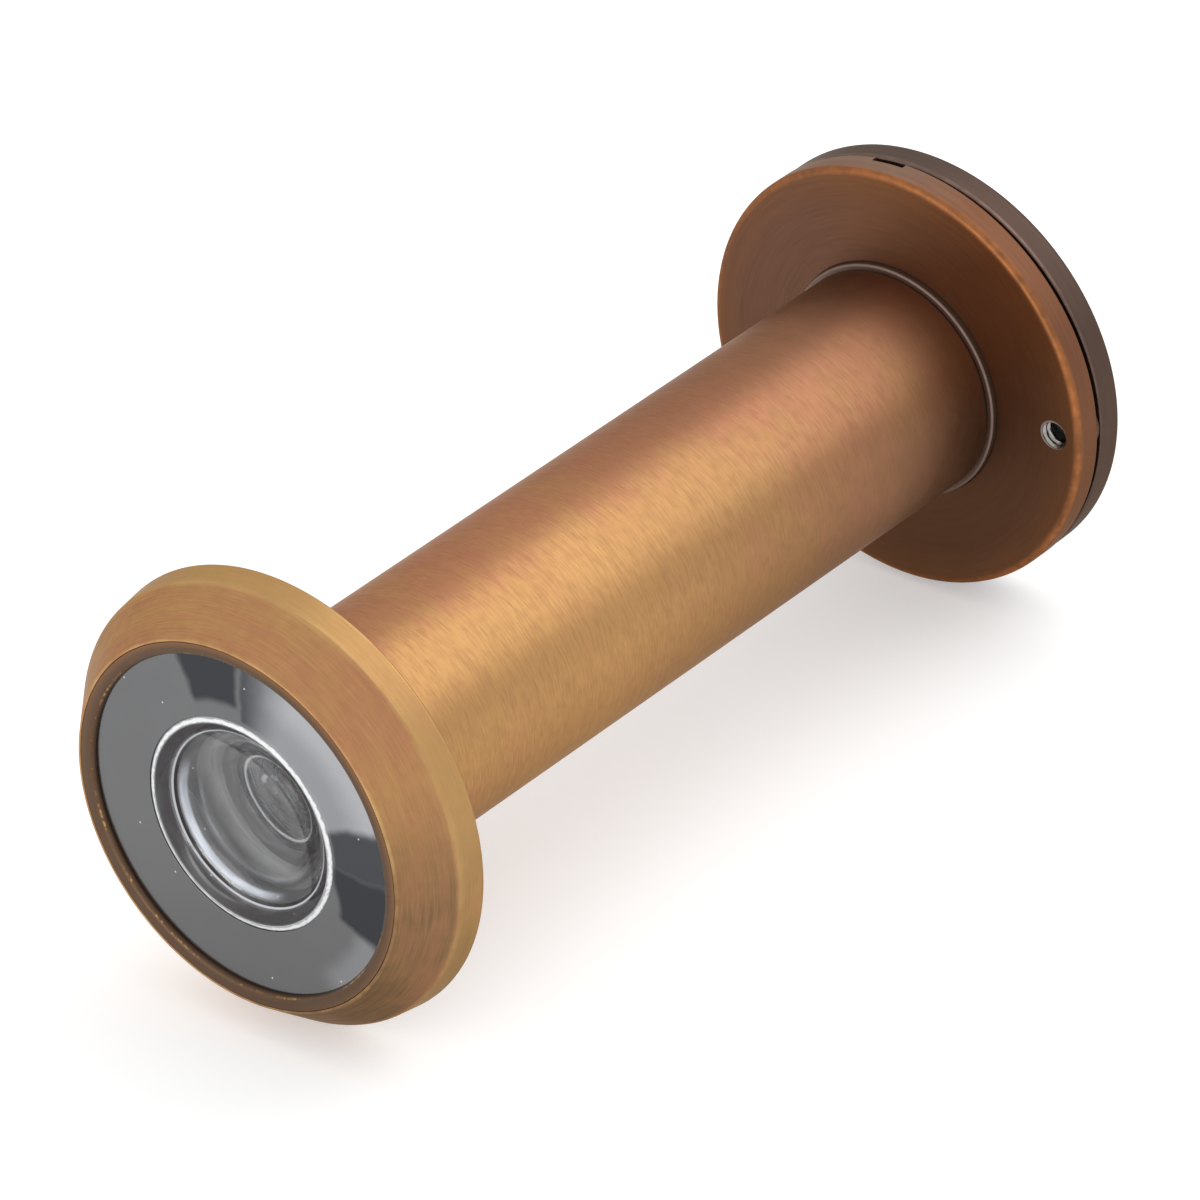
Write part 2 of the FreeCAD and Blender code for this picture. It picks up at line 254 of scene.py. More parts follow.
@dataclass
class Turned:
    """Coordinates of a turned surface, from its Object coordinates."""

    board: Board
    offset: float = 0.0

    def __post_init__(self) -> None:
        """Work out the station along the axis, the radius and the direction round it, in millimetres."""
        board = self.board
        place = board.make("ShaderNodeTexCoord", {}, {}, out="Object")
        parts = board.node("ShaderNodeSeparateXYZ", {}, {0: place})
        x = Signal(board, parts.outputs[0]) * (1 / MM) - self.offset
        z = Signal(board, parts.outputs[2]) * (1 / MM)
        self.place = place
        self.station = Signal(board, parts.outputs[1]) * (1 / MM)
        self.radius = (x * x + z * z).math("SQRT")
        safe = self.radius.math("MAXIMUM", 0.01)
        self.across = x / safe
        self.up = z / safe

    def facing(self, degrees: float) -> Signal:
        """Cosine of the angle between the direction round the axis and a direction, from +X towards +Z."""
        angle = math.radians(degrees)
        return self.across * math.cos(angle) + self.up * math.sin(angle)

    def streaks(self, width: float, turn: float, detail: float = 2.0) -> Signal:
        """Noise drawn out round the axis.

        Args:
            width: size of a streak across, in millimetres.
            turn: how often it changes in one radian round the axis.
            detail: octaves of the noise.

        Returns:
            Noise from 0 to 1.
        """
        along = (self.station + self.radius) / width
        vector = self.board.vector(self.across * turn, along, self.up * turn)
        return self.board.noise(vector, 1.0, detail)

    def patches(self, size: float, detail: float = 3.0) -> Signal:
        """Even noise with features of a size in millimetres."""
        return self.board.noise(self.place, 1 / (size * MM), detail)

    def dust(self, spacing: float, size: float, share: float) -> Signal:
        """Round specks on a flat face across the axis.

        A speck sits at the middle of a random cell, where the distance to it is less than its size.

        Args:
            spacing: size of a cell, in millimetres.
            size: radius of a speck, in millimetres.
            share: part of the cells that hold one.

        Returns:
            1 on a speck and 0 between them.
        """
        flat = self.board.vector(self.across * self.radius / spacing, self.up * self.radius / spacing, 0.0)
        settings = {"voronoi_dimensions": "2D"}
        cells = self.board.node("ShaderNodeTexVoronoi", settings, {"Vector": flat, "Scale": 1.0})
        chance = Signal(self.board, cells.outputs["Color"]) * 1.0
        reach, rare = size / spacing, 0.62 - share * 0.3
        near = Signal(self.board, cells.outputs["Distance"]).ramp(reach, reach * 0.5)
        return near * chance.ramp(rare, rare + 0.02)


# ---- finishes


def tinted(colour: Triple, strength: float) -> Triple:
    """A colour made lighter or darker."""
    return tuple(channel * strength for channel in colour)


@dataclass(frozen=True)
class Finish:
    """What every finish has: a name and the record's slot."""

    name: str
    slot: Slot

    def build(self) -> bpy.types.Material:
        """Make the material from its surface.

        Returns:
            The material.
        """
        material, board = blank_material(self.name)
        board.node("ShaderNodeOutputMaterial", {}, {"Surface": self.surface(board).outputs[0]})
        return material

    def surface(self, board: Board) -> bpy.types.Node:
        """Add the finish's nodes to a board and return its shader."""
        raise NotImplementedError


@dataclass(frozen=True)
class BrushedBrass(Finish):
    """Antique brass brushed round the axis, gold to copper, lacquered, with painted light and shade."""

    gold: Triple = (0.445, 0.245, 0.098)
    copper: Triple = (0.425, 0.186, 0.102)
    rubbed: Triple = (0.60, 0.39, 0.17)
    yellow: Triple = (0.50, 0.315, 0.12)
    groove: Triple = (0.25, 0.125, 0.065)
    # colour of the stains and of the painted shade on the cone's lower side
    stain_and_shade: Triple = (0.12, 0.080, 0.045)
    edge_tint: Triple = (0.58, 0.56, 0.53)
    # colour of the painted shade at the tube's end by the flange
    dark: Triple = (0.19, 0.098, 0.058)
    blacking: Triple = (0.50, 0.50, 0.50)
    roughness: float = 0.42
    relief: float = 0.0000025
    ridge_radius: float = 13.3
    ridge_station: float = -1.75
    front_station: float = -4.55
    stain_and_shade_turn: float = -38.0

    def surface(self, board: Board) -> bpy.types.Node:
        """Short brush lines, cloudy tone with painted gold and copper by side, rubbed ridge, stains and
        painted shade on the cone, painted shade at the tube's end by the flange.

        Args:
            board: takes the nodes.

        Returns:
            The shader.
        """
        turned = Turned(board)
        hair = turned.streaks(0.055, 8.0, 1.0)
        fine = turned.streaks(0.16, 4.0, 2.0)
        broad = turned.streaks(1.1, 2.2, 2.0)
        cloud = turned.patches(6.5)
        grain = turned.patches(0.7, 2.0)
        on_tube = turned.station.ramp(0.0, 0.3)
        # Painted light: warm paints copper toward the flange, as the flange's reflection, and on the side
        # away from the highlight; painted_lit_gold paints gold toward the highlight; broad and cloud are the
        # brass's own random tone.
        warm = turned.station.ramp(24.0, 46.0) * 0.35 + turned.facing(105.0).ramp(0.6, 1.0) * 0.3
        painted_lit_gold = turned.facing(10.0).ramp(-0.1, 0.85) * 0.22
        tone = (broad * 0.6 + cloud * 0.8 + (painted_lit_gold - warm) * on_tube - 0.2).ramp(0.1, 0.75)
        lines = (hair * 0.4 + fine * 0.35 + grain * 0.25).ramp(0.34, 0.6)
        ridge = (turned.station - self.ridge_station).math("ABSOLUTE").ramp(0.42, 0.0)
        rim = turned.radius.ramp(self.ridge_radius - 0.3, self.ridge_radius)
        land = turned.station.ramp(self.front_station + 0.16, self.front_station + 0.02)
        worn = (ridge * rim * (cloud * 1.4 - 0.45) + land * (cloud * 1.2 + grain * 0.8 - 0.75)).clamped()
        # Real stains, with painted shade: the cone darkens on its lower side, where it reflects the shaded
        # floor.
        low = turned.facing(self.stain_and_shade_turn).ramp(0.35, 0.95)
        blotch = (cloud * 0.9 + fine * 0.5 + broad * 0.4).ramp(0.72, 1.05)
        on_cone = turned.radius.ramp(self.ridge_radius + 0.05, self.ridge_radius - 0.25)
        stain_and_shade_mask = (0.5 + blotch * 0.38) * low * (1 - on_tube) * (1 - worn)
        floor = turned.radius.ramp(10.9, 10.7) * turned.station.band(-1.3, -0.1, 0.05)
        ragged = turned.radius + (grain - 0.5) * 0.12 + (fine - 0.5) * 0.12
        band = ragged.ramp(self.ridge_radius - 0.12, self.ridge_radius + 0.04)
        # Painted shade: the tube darkens toward the flange, less on its lit side and more on its underside.
        lit = turned.facing(48.0).ramp(0.72, 1.0)
        under = turned.facing(-15.0).ramp(0.6, 1.0)
        end = (turned.station - 20.0) * (0.84 / 33) * (0.8 + broad * 0.4) * (1 - lit * 0.32 + under * 0.2)
        colour = board.coats(
            self.copper,
            (tone, self.gold),
            ((1 - lines) * 0.32, self.groove),
            (hair.ramp(0.60, 0.74) * 0.2, self.rubbed),
            (worn, self.rubbed),
            (stain_and_shade_mask * on_cone, self.stain_and_shade),
            (floor, self.blacking),
            (band * (0.25 + cloud * 0.6), self.yellow),
            (stain_and_shade_mask * (1 - on_cone) * 0.5, self.stain_and_shade),
            (end.clamped() * on_tube, self.dark),
        )
        return board.principled({
            "Base Color": colour,
            "Metallic": 1.0,
            "Specular Tint": (*self.edge_tint, 1.0),
            "Roughness": self.roughness + 0.05 - lines * 0.08 - worn * 0.06 + low * blotch * 0.08,
            "Normal": board.bump(hair * 0.5 + fine * 0.5, 0.6, self.relief),
        })


@dataclass(frozen=True)
class DarkBronze(Finish):
    """Dark patina with a rubbed front edge and a paler rim, with painted light: a paler side, a warm glow and
    a sheen on the rim.
    """

    face: Triple = (0.112, 0.053, 0.029)
    # colour of the painted lighter side
    pale: Triple = (0.165, 0.085, 0.058)
    # colour of the painted warm glow and of the warmer patina toward the rim
    warm: Triple = (0.205, 0.088, 0.036)
    rim: Triple = (0.178, 0.080, 0.046)
    rim_sheen: Triple = (0.31, 0.205, 0.155)
    worn: Triple = (0.46, 0.165, 0.055)
    edge_tint: Triple = (0.6, 0.55, 0.5)
    bare: Triple = (0.33, 0.31, 0.29)
    edge_radius: float = 13.18
    edge_station: float = 53.62
    edge_rounding: float = 0.45
    lit_side_turn: float = 118.0
    warm_light_turn: float = 58.0
    hole_offset: float = 11.34
    hole_radius: float = 0.905
    roughness: float = 0.42
    relief: float = 0.000003

    def surface(self, board: Board) -> bpy.types.Node:
        """Dark face, painted paler on its lit side and warmer on another, a painted sheen on the rim, orange
        where the front edge is rubbed.

        Args:
            board: takes the nodes.

        Returns:
            The shader.
        """
        turned = Turned(board)
        hair = turned.streaks(0.06, 5.0, 1.0)
        fine = turned.streaks(0.25, 2.5)
        cloud = turned.patches(4.0)
        grain = turned.patches(0.5, 2.0)
        depth = turned.station - self.edge_station
        # Painted light: the face is paler on its lit side, with random clouds.
        side = turned.facing(self.lit_side_turn).ramp(-0.6, 1.0)
        # Painted light: glow is a warm pool of light on one side of the face; near_edge is warmer patina
        # toward the rim all round.
        glow = turned.facing(self.warm_light_turn).ramp(0.3, 1.0) * 0.5
        near_edge = turned.radius.ramp(self.edge_radius - 2.8, self.edge_radius) * (0.15 + cloud * 0.5)
        on_rim = turned.radius.ramp(self.edge_radius - 0.06, self.edge_radius - 0.01)
        # Painted highlight: a sheen on the rim's lit side.
        painted_rim_sheen = turned.facing(self.lit_side_turn).ramp(0.6, 1.0) * (0.5 + cloud * 0.6)
        edge, rounding = self.edge_radius, self.edge_rounding
        turn_in = turned.radius.ramp(edge - rounding * 1.3, edge - rounding * 0.1)
        turn_back = depth.ramp(rounding * 1.1, rounding * 0.2)
        rubbed = (turn_in * turn_back * (grain * 1.1 + cloud * 1.3 - 0.68)).clamped()
        lines = (hair * 0.5 + fine * 0.5).ramp(0.3, 0.65)
        cut = Turned(board, self.hole_offset).radius.ramp(self.hole_radius + 0.01, self.hole_radius - 0.01)
        colour = board.coats(
            self.face,
            ((side * 0.75 + cloud * 0.5 - 0.2).clamped(), self.pale),
            ((glow + near_edge).clamped(), self.warm),
            ((on_rim * (0.75 + cloud * 0.4)).clamped(), self.rim),
            ((on_rim * painted_rim_sheen).clamped(), self.rim_sheen),
            (rubbed, self.worn),
            ((1 - lines) * 0.22, tinted(self.face, 0.6)),
            (cut, self.bare),
        )
        return board.principled({
            "Base Color": colour,
            "Metallic": 1.0,
            "Specular Tint": (*self.edge_tint, 1.0),
            "Roughness": self.roughness + cloud * 0.12 - rubbed * 0.1 - cut * 0.2,
            "Normal": board.bump(hair * 0.4 + fine * 0.3 + grain * 0.3, 0.5, self.relief),
        })


@dataclass(frozen=True)
class TurnedMetal(Finish):
    """A small turned metal piece with fine turning lines, rubbed on one circle if asked."""

    colour: Triple = (0.6, 0.6, 0.6)
    roughness: float = 0.3
    offset: float = 0.0
    line_width: float = 0.05
    relief: float = 0.000002
    mottle: float = 0.3
    rubbed: Optional[Triple] = None
    rubbed_radius: float = 0.0
    rubbed_width: float = 0.1
    outer: Optional[Triple] = None
    outer_turn: float = 60.0
    outer_reach: tuple[float, float] = (0.0, 1.0)
    shaded_before: Optional[float] = None

    def surface(self, board: Board) -> bpy.types.Node:
        """Turning lines and faint clouds over one colour.

        Args:
            board: takes the nodes.

        Returns:
            The shader.
        """
        turned = Turned(board, self.offset)
        fine = turned.streaks(self.line_width, 1.5)
        cloud = turned.patches(2.0)
        mottled = (fine + cloud - 0.5).clamped() * self.mottle
        colour = board.blend(mottled, self.colour, tinted(self.colour, 0.5))
        # Painted shade: the part before this station, deep in its hole, is darkened.
        if self.shaded_before is not None:
            painted_hole_shade = turned.station.ramp(self.shaded_before, self.shaded_before - 0.2)
            colour = board.blend(painted_hole_shade, colour, tinted(self.colour, 0.12))
        if self.outer is not None:
            outward = (turned.radius + (cloud - 0.5) * 0.15).ramp(*self.outer_reach)
            colour = board.blend(outward * turned.facing(self.outer_turn).ramp(-1.0, 0.6), colour, self.outer)
        if self.rubbed is not None:
            grain = turned.patches(0.22, 2.0)
            near = (turned.radius - self.rubbed_radius).math("ABSOLUTE").ramp(self.rubbed_width, 0.0)
            colour = board.blend(near * (grain + cloud * 1.3).ramp(1.15, 1.5), colour, self.rubbed)
        return board.principled({
            "Base Color": colour,
            "Metallic": 1.0,
            "Roughness": self.roughness + fine * 0.1,
            "Normal": board.bump(fine, 0.4, self.relief),
        })


@dataclass(frozen=True)
class PolishedPlate(Finish):
    """Polished grey plate with a painted reflection: a bright sector between dark ones, and a painted glint.
    """

    grey: Triple = (0.148, 0.149, 0.152)
    bright: Triple = (0.40, 0.405, 0.42)
    dim_reflection: Triple = (0.063, 0.065, 0.072)
    dark: Triple = (0.042, 0.044, 0.050)
    silver: Triple = (0.92, 0.92, 0.92)
    dust: Triple = (0.75, 0.76, 0.78)
    reflection_turn: float = 43.36
    face_station: float = -4.15
    roughness: float = 0.15
    relief: float = 0.0000005

    def surface(self, board: Board) -> bpy.types.Node:
        """Grey, with painted reflection sectors given in degrees round the axis from the middle of the bright
        one.

        Args:
            board: takes the nodes.

        Returns:
            The shader.
        """
        turned = Turned(board)
        cloud = turned.patches(2.6)
        fine = turned.streaks(0.2, 2.5)
        # Painted reflection: the bright, dim and dark sectors and the glint stand for the surroundings
        # mirrored in the plate; cloud and specks are real.
        aside = turned.facing(self.reflection_turn - 90).math("ARCTAN2", turned.facing(self.reflection_turn))
        aside = aside * (180 / math.pi) + (cloud - 0.5) * 7
        outward = turned.radius + (cloud - 0.5) * 0.8
        painted_glint = aside.band(68.0, 97.0, 6.0) * outward.ramp(8.4, 9.7)
        bright = aside.ramp(-44.0, -19.0) * aside.ramp(29.5, 24.5)
        dark_reflection_early = aside.band(-68.0, -44.5, 1.6) * outward.ramp(7.1, 7.7)
        dark_reflection_late = aside.band(46.0, 70.5, 2.2) * (outward - aside.ramp(52.0, 70.0) * 0.9).ramp(6.3, 6.8)
        speck = turned.dust(2.3, 0.07, 0.1)
        behind = turned.station.ramp(self.face_station + 0.08, self.face_station + 0.12)
        colour = board.coats(
            self.grey,
            ((cloud - 0.35).clamped() * 0.35, tinted(self.grey, 1.3)),
            (painted_glint * 0.5, tinted(self.bright, 0.8)),
            (aside.band(-42.5, 46.0, 1.5) * outward.ramp(6.5, 6.8), self.dim_reflection),
            (bright * (0.62 + outward.ramp(7.5, 9.8) * 0.34), self.bright),
            ((dark_reflection_early + dark_reflection_late).clamped(), self.dark),
            (speck * 0.7, self.dust),
            (behind, self.silver),
        )
        return board.principled({
            "Base Color": colour,
            "Metallic": 1 - speck,
            "Roughness": self.roughness + cloud * 0.08 + speck * 0.3,
            "Normal": board.bump(fine, 0.3, self.relief),
        })


@dataclass(frozen=True)
class Ring:
    """A streaky painted reflection ring on a lens: its radii, how soft its edges are, how strong it is and on
    which side.
    """

    low: float
    high: float
    soft: float
    strength: float
    turn: float = 0.0
    reach: tuple[float, float] = (-3.0, -2.0)

    def amount(self, turned: Turned, streak: Signal) -> Signal:
        """How much of the ring there is; reach gives the cosines from the turn at which it fades in.

        Args:
            turned: the lens's coordinates.
            streak: noise from 0 to 1.

        Returns:
            The amount.
        """
        side = turned.facing(self.turn).ramp(*self.reach)
        whole = turned.radius.band(self.low, self.high, self.soft)
        return whole * side * (0.55 + streak * 0.6) * self.strength


@dataclass(frozen=True)
class LensGlass(Finish):
    """Polished optical glass with a few specks of dust, and rings of painted dark reflection or painted
    highlight in front of ring_end.
    """

    ior: float = 1.46
    dust_spacing: float = 2.1
    dust_size: float = 0.05
    haze: float = 0.03
    dark_reflection_rings: tuple[Ring, ...] = ()
    # pale holds rings of painted highlight
    pale: tuple[Ring, ...] = ()
    ring_end: float = 0.0
    clean: float = 0.0
    clean_turn: float = 12.0
    dust: Triple = (0.8, 0.8, 0.82)
    dark_reflection_colour: Triple = (0.045, 0.040, 0.042)
    highlight_colour: Triple = (0.74, 0.78, 0.86)

    def surface(self, board: Board) -> bpy.types.Node:
        """Clear glass with a faint swirled haze, white where a speck sits.

        Args:
            board: takes the nodes.

        Returns:
            The shader.
        """
        turned = Turned(board)
        speck = turned.dust(self.dust_spacing, self.dust_size, 0.1)
        swirl = turned.streaks(0.22, 1.3, 3.0).ramp(0.3, 0.7)
        clean = turned.facing(self.clean_turn).ramp(-0.2, 0.8) * self.clean
        film = (swirl * 0.9 + 0.4) * self.haze * (1 - clean)
        white = (1.0, 1.0, 1.0, 1.0)
        glass = {"Base Color": white, "Roughness": 0.0, "IOR": self.ior, "Transmission Weight": 1.0}
        shader = board.mixed((speck * 0.6 + film).clamped(), board.principled(glass), board.matt(self.dust))
        for rings, shade in ((self.dark_reflection_rings, self.dark_reflection_colour), (self.pale, self.highlight_colour)):
            if rings:
                paint = board.matt(shade)
                amounts = [ring.amount(turned, swirl) for ring in rings]
                ahead = turned.station.ramp(self.ring_end + 0.1, self.ring_end - 0.1)
                shader = board.mixed(sum(amounts[1:], amounts[0]).clamped() * ahead, shader, paint)
        return shader


@dataclass(frozen=True)
class GroundGlass(Finish):
    """The white ground bevels of a lens, whose outer edge may glow as painted light."""

    tint: Triple = (0.86, 0.87, 0.88)
    ring: Optional[tuple[float, float]] = None
    painted_glow: float = 0.0
    edge_radius: float = 10.5
    relief: float = 0.000005

    def surface(self, board: Board) -> bpy.types.Node:
        """Pale matt surface with grinding grain and small chips, and a painted glow on the outer edge.

        Args:
            board: takes the nodes.

        Returns:
            The shader.
        """
        turned = Turned(board)
        grain = turned.patches(0.12, 2.0)
        chips = turned.streaks(0.2, 9.0).ramp(0.62, 0.70)
        wear = grain * 0.3 + chips * 0.4
        if self.ring is not None:
            ragged = turned.radius + (turned.patches(0.35, 3.0) - 0.5) * 0.22 + turned.facing(133.0) * 0.03
            wear = wear + (1 - ragged.band(*self.ring, 0.04)) * 0.85
        # Painted light: the outer edge glows though it is no lamp.
        edge = turned.radius.ramp(self.edge_radius - 0.1, self.edge_radius + 0.1)
        return board.principled({
            "Emission Color": board.blend(edge, (0.0, 0.0, 0.0), self.tint),
            "Emission Strength": self.painted_glow,
            "Base Color": board.blend(wear.clamped(), self.tint, tinted(self.tint, 0.4)),
            "Roughness": 0.35 + grain * 0.3,
            "Normal": board.bump(grain, 0.4, self.relief),
        })


# ---- meshes


def rounded_profile(corners: Sequence[Triple], support: float = 0.02) -> np.ndarray:
    """Points of a profile whose corners are rounded.

    Each rounded corner becomes an arc tangent to its two sides, which starts rounding / tan(half the
    corner's angle) from the corner, with one more point just outside each end to hold the shading.

    Args:
        corners: (radius, station, rounding), in millimetres, closed on itself.
        support: distance of the holding points from the arc, in millimetres.

    Returns:
        An array of (radius, station) rows.
    """
    places = np.array([corner[:2] for corner in corners], float)
    rows: list[np.ndarray] = []
    for index, (_, _, rounding) in enumerate(corners):
        corner = places[index]
        to_last = places[index - 1] - corner
        to_next = places[(index + 1) % len(places)] - corner
        to_last /= np.linalg.norm(to_last)
        to_next /= np.linalg.norm(to_next)
        if rounding <= 0:
            rows.append(corner[None])
            continue
        half = math.acos(float(np.clip(to_last @ to_next, -1, 1))) / 2
        reach = rounding / math.tan(half)
        bisector = (to_last + to_next) / np.linalg.norm(to_last + to_next)
        centre = corner + bisector * rounding / math.sin(half)
        sweep = math.pi - 2 * half
        start = corner + to_last * reach - centre
        side = corner + to_next * reach - centre
        turn = np.linspace(0, 1, ARC_SPANS + 1)[:, None]
        arc = centre + (np.sin((1 - turn) * sweep) * start + np.sin(turn * sweep) * side) / math.sin(sweep)
        before = corner + to_last * (reach + support)
        after = corner + to_next * (reach + support)
        rows.append(np.vstack([before, arc, after]))
    return np.vstack(rows)


def cap_points(rim: float, rim_station: float, rise: float) -> np.ndarray:
    """A spherical cap's profile from its rim to its pole.

    The circle goes through the rim and the pole, which stands rise along +Y from the rim, and its centre is
    on the axis: r = R sin a, y = rim_station + rise - R (1 - cos a), with R = (rim^2 + rise^2) / (2 rise).

    Args:
        rim: radius of the rim.
        rim_station: station of the rim.
        rise: station of the pole less that of the rim; it may be negative.

    Returns:
        Rows of (radius, station).
    """
    ball = (rim ** 2 + rise ** 2) / (2 * rise)
    turn = np.linspace(math.asin(min(1.0, rim / abs(ball))), 0, CAP_ROWS)
    return np.stack([abs(ball) * np.sin(turn), rim_station + rise - ball * (1 - np.cos(turn))], -1)


def thread_wave(station: np.ndarray, angle: np.ndarray, pitch: float) -> np.ndarray:
    """A right-hand thread's height from 0 to 1: a flat-cut triangle of station / pitch + angle / one turn."""
    phase = np.mod(station / pitch + angle / (2 * math.pi), 1.0)
    return np.clip((1 - np.abs(2 * phase - 1) - 0.18) / 0.6, 0.0, 1.0)


@dataclass
class Turning:
    """Rows of a turned surface: each row is a circle, or a wavy one where a thread runs."""

    segments: int = STEPS
    offset: float = 0.0
    radius: list[np.ndarray] = field(default_factory=list)
    station: list[np.ndarray] = field(default_factory=list)

    @property
    def angle(self) -> np.ndarray:
        """Angles of the steps round the axis."""
        return np.arange(self.segments) * (2 * math.pi / self.segments)

    def plain(self, profile: np.ndarray) -> "Turning":
        """Add circles.

        Args:
            profile: (radius, station) rows.

        Returns:
            Itself.
        """
        self.radius.append(np.repeat(profile[:, :1], self.segments, 1))
        self.station.append(np.repeat(profile[:, 1:2], self.segments, 1))
        return self

    def thread(self, core: float, crest: float, start: float, end: float, pitch: float) -> "Turning":
        """Add a thread that runs out at both ends.

        The radius is core + (crest - core) * wave * fade, where fade falls to 0 over one pitch at each end.

        Args:
            core: radius of the root.
            crest: radius of the crest.
            start: first station.
            end: last station; it may be less than the first.
            pitch: length of one turn.

        Returns:
            Itself.
        """
        count = max(2, int(abs(end - start) / pitch * PITCH_ROWS))
        station = np.linspace(start, end, count)[:, None] + np.zeros((1, self.segments))
        fade = np.clip(np.minimum(np.abs(station - start), np.abs(station - end)) / pitch, 0, 1)
        self.radius.append(core + (crest - core) * thread_wave(station, self.angle[None], pitch) * fade)
        self.station.append(station)
        return self

    def piece(self, name: str, kinds: Optional[np.ndarray] = None) -> bpy.types.Object:
        """Join the rows into a closed object.

        Where the first and last rows are on the axis each becomes a pole; otherwise the last joins the first.
        A vertex is (offset + r cos a, y, r sin a).

        Args:
            name: the object's name.
            kinds: material number of the span after each row.

        Returns:
            The object, at the origin.
        """
        radius, station = np.vstack(self.radius), np.vstack(self.station)
        poled = radius[0, 0] < 1e-6
        body = slice(1, -1) if poled else slice(None)
        across, up = radius[body] * np.cos(self.angle), radius[body] * np.sin(self.angle)
        grid = np.stack([self.offset + across, station[body], up], -1)
        rows = len(grid)
        points = grid.reshape(-1, 3)
        row = np.arange(rows - 1 if poled else rows)[:, None]
        step = np.arange(self.segments)[None]
        after_row, after_step = (row + 1) % rows, (step + 1) % self.segments
        near, far = row * self.segments, after_row * self.segments
        quads = np.stack([near + step, near + after_step, far + after_step, far + step], -1).reshape(-1, 4)
        faces = quads.tolist()
        if poled:
            first, last = len(points), len(points) + 1
            points = np.vstack([points, [[self.offset, station[0, 0], 0], [self.offset, station[-1, 0], 0]]])
            step, after = step[0], after_step[0]
            base = (rows - 1) * self.segments
            front = np.stack([np.full_like(step, first), after, step], -1)
            back = np.stack([np.full_like(step, last), base + step, base + after], -1)
            faces += front.tolist() + back.tolist()
        made = mesh_piece(name, points, faces)
        if kinds is not None:
            spans = kinds[1:-2] if poled else kinds
            numbers = np.repeat(spans, self.segments)
            if poled:
                numbers = np.concatenate([numbers, np.repeat([kinds[0], kinds[-2]], self.segments)])
            made.data.polygons.foreach_set("material_index", numbers.astype(np.int32))
        return made


def mesh_piece(name: str, points: np.ndarray, faces: Sequence[Sequence[int]]) -> bpy.types.Object:
    """Make a smooth object from vertices in millimetres, with its faces outwards.

    Args:
        name: the object's name.
        points: (n, 3) vertices in millimetres.
        faces: the vertices of each face.

    Returns:
        The object, at the origin.
    """
    mesh = bpy.data.meshes.new(name)
    mesh.from_pydata((points * MM).tolist(), [], faces)
    face_outwards(mesh)
    soften(mesh)
    return placed(name, mesh)

def soften(mesh: bpy.types.Mesh, angle: float = 32.0) -> None:
    """Shade smooth, with sharp edges where faces meet at more than the angle in degrees."""
    mesh.shade_smooth()
    mesh.set_sharp_from_angle(angle=math.radians(angle))


def face_outwards(mesh: bpy.types.Mesh) -> None:
    """Turn a closed mesh's faces outwards if its signed volume is negative.

    Args:
        mesh: the mesh.
    """
    mesh.calc_loop_triangles()
    corners = np.zeros(len(mesh.loop_triangles) * 3, np.int32)
    mesh.loop_triangles.foreach_get("vertices", corners)
    place = np.zeros(len(mesh.vertices) * 3, np.float32)
    mesh.vertices.foreach_get("co", place)
    triangles = place.astype(float).reshape(-1, 3)[corners.reshape(-1, 3)]
    volume = np.einsum("ij,ij->i", triangles[:, 0], np.cross(triangles[:, 1], triangles[:, 2])).sum()
    if volume < 0:
        mesh.flip_normals()


def carve(piece: bpy.types.Object, tools: Sequence[bpy.types.Object]) -> None:
    """Cut tools out of a piece and throw the tools away.

    Args:
        piece: the piece.
        tools: closed objects.
    """
    for tool in tools:
        cut = piece.modifiers.new("cut", "BOOLEAN")
        cut.operation = "DIFFERENCE"
        cut.solver = "EXACT"
        cut.object = tool
    bpy.context.view_layer.update()
    evaluated = piece.evaluated_get(bpy.context.evaluated_depsgraph_get())
    whole = bpy.data.meshes.new_from_object(evaluated)
    piece.modifiers.clear()
    old = piece.data
    piece.data = whole
    whole.name = old.name
    bpy.data.meshes.remove(old)
    for tool in tools:
        bpy.data.objects.remove(tool)
    soften(whole)


def bar(width: float, length: float, start: float, end: float, turn: float) -> bpy.types.Object:
    """Box tool along the axis.

    Args:
        width: its side across.
        length: its side the other way.
        start: its first station.
        end: its last station.
        turn: degrees from +X towards +Z.

    Returns:
        The tool.
    """
    signs = np.array([[x, y, z] for x in (-1, 1) for y in (0, 1) for z in (-1, 1)], float)
    across, along = signs[:, 0] * width / 2, signs[:, 2] * length / 2
    cosine, sine = math.cos(math.radians(turn)), math.sin(math.radians(turn))
    station = np.where(signs[:, 1] > 0, end, start)
    points = np.stack([across * cosine - along * sine, station, across * sine + along * cosine], -1)
    faces = (0, 1, 3, 2), (4, 6, 7, 5), (0, 4, 5, 1), (2, 3, 7, 6), (0, 2, 6, 4), (1, 5, 7, 3)
    return mesh_piece("tool", points, faces)


def rod(radius: float, start: float, end: float, offset: float) -> bpy.types.Object:
    """Cylinder tool along the axis."""
    profile = np.array([(0.0, start), (radius, start), (radius, end), (0.0, end)])
    return Turning(SMALL_STEPS, offset).plain(profile).piece("tool")


def ring_corners(
    inner: float, outer: float, start: float, end: float, roundings: Sequence[float]
) -> list[Triple]:
    """Corners of a plain ring, from the inner one at its start round to the inner one at its end."""
    places = (inner, start), (outer, start), (outer, end), (inner, end)
    return [(*place, rounding) for place, rounding in zip(places, roundings)]


def turned_piece(
    name: str, corners: Sequence[Triple], segments: int = STEPS, offset: float = 0.0, support: float = 0.02
) -> bpy.types.Object:
    """Turn a piece from the corners of its profile."""
    return Turning(segments, offset).plain(rounded_profile(corners, support=support)).piece(name)


# ---- sub-assemblies


